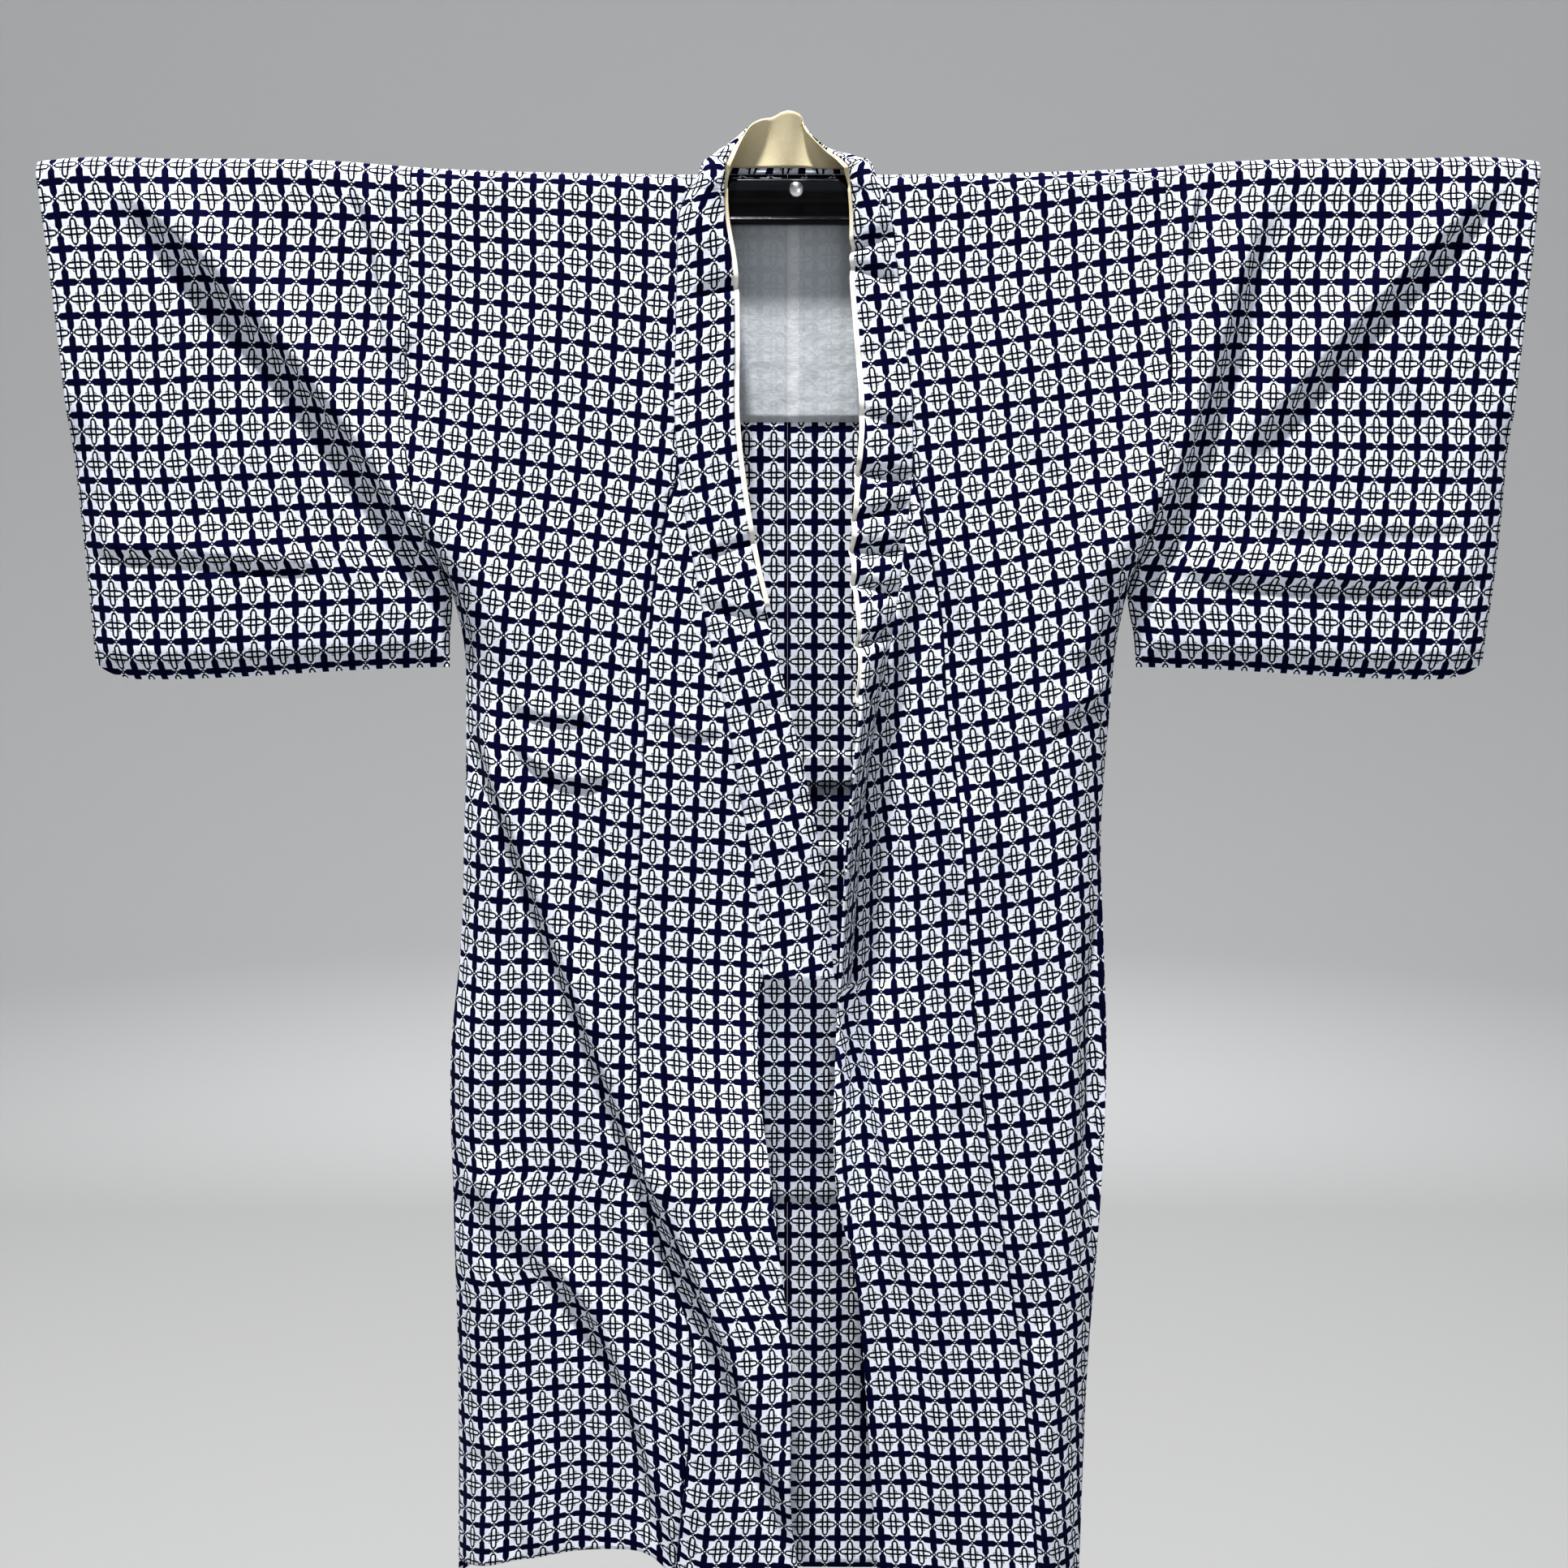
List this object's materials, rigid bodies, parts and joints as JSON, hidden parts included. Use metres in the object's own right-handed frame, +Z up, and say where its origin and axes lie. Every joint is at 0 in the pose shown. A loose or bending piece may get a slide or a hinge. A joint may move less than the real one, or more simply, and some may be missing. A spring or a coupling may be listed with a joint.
{
  "type": "cotton yukata robe on a hanger bar",
  "caption": "Open cotton yukata robe with wide square sleeves, overlap panels and a long collar band, hung on a straight bar through its sleeves.",
  "frame": {"origin": "centre of the hanger bar, where the robe is held up", "axes": "+Z up, the robe's length; +X towards the viewer's right along the bar; -Y out of the robe's front towards the viewer"},
  "size_m": [1.3688, 0.1198, 1.4225],
  "materials": {
    "printed_cotton": "matt plain-weave cotton, navy and white small repeat on both faces",
    "cream_cotton": "matt cream cotton",
    "white_cotton": "matt thin white cotton",
    "black_gloss": "glossy black plastic",
    "silver": "polished silver"
  },
  "bodies": {
    "root": {"body_left": "printed_cotton", "body_right": "printed_cotton", "sleeve_left": "printed_cotton", "sleeve_right": "printed_cotton", "okumi_left": "printed_cotton", "okumi_right": "printed_cotton", "collar": "printed_cotton", "collar_lining": "cream_cotton", "shoulder_lining": "white_cotton", "waist_tuck": "printed_cotton", "seat_lining": "printed_cotton", "hanger_housing": "black_gloss", "hanger_arm_left": "black_gloss", "hanger_arm_right": "black_gloss", "hanger_stud": "silver"}
  },
  "joints": []
}
